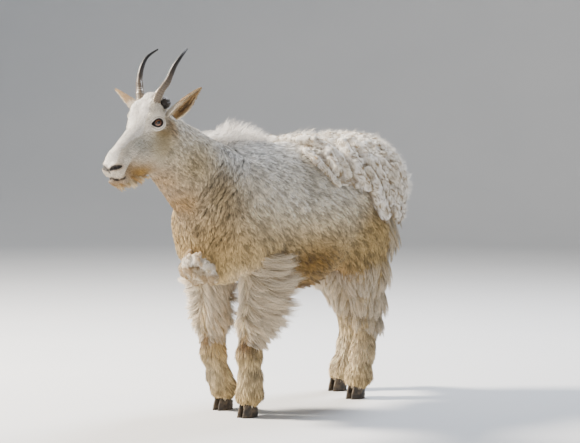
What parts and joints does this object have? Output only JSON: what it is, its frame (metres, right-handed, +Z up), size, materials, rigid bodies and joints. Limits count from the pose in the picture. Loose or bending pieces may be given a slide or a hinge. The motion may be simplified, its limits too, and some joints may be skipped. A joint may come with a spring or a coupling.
{
  "type": "mountain goat, still life-size model",
  "caption": "Standing long-haired mountain goat with slim black horns, raised head and shedding wool, on four cloven hooves.",
  "frame": {"origin": "on the ground, under the middle of the goat's bounding box", "axes": "+X to the goat's left, +Y from its head towards its tail, +Z up; the hooves stand on Z = 0"},
  "size_m": [0.4778, 1.4369, 1.226],
  "materials": {
    "coat": "short pale summer hair with long hair on legs, chin and crest",
    "wool": "felted shed winter wool in clumps and ropes over short hair",
    "ear": "thin ear with short tan hair",
    "horn": "ringed keratin, smooth black tips",
    "gland": "bare black skin behind the horns",
    "hoof": "worn dark keratin",
    "eye": "wet amber-brown eye"
  },
  "bodies": {
    "root": {"barrel": "wool", "chest": "coat", "head": "coat", "left_ear": "ear", "left_eye": "eye", "left_fore_foot": "coat", "left_fore_inner_dewclaw": "hoof", "left_fore_inner_hoof": "hoof", "left_fore_lower_leg": "coat", "left_fore_outer_dewclaw": "hoof", "left_fore_outer_hoof": "hoof", "left_fore_upper_leg": "coat", "left_hind_foot": "coat", "left_hind_inner_dewclaw": "hoof", "left_hind_inner_hoof": "hoof", "left_hind_lower_leg": "coat", "left_hind_outer_dewclaw": "hoof", "left_hind_outer_hoof": "hoof", "left_hind_upper_leg": "coat", "left_horn": "horn", "left_horn_gland": "gland", "neck": "coat", "right_ear": "ear", "right_eye": "eye", "right_fore_foot": "coat", "right_fore_inner_dewclaw": "hoof", "right_fore_inner_hoof": "hoof", "right_fore_lower_leg": "coat", "right_fore_outer_dewclaw": "hoof", "right_fore_outer_hoof": "hoof", "right_fore_upper_leg": "coat", "right_hind_foot": "coat", "right_hind_inner_dewclaw": "hoof", "right_hind_inner_hoof": "hoof", "right_hind_lower_leg": "coat", "right_hind_outer_dewclaw": "hoof", "right_hind_outer_hoof": "hoof", "right_hind_upper_leg": "coat", "right_horn": "horn", "right_horn_gland": "gland", "rump": "wool", "tail": "wool"}
  },
  "joints": []
}
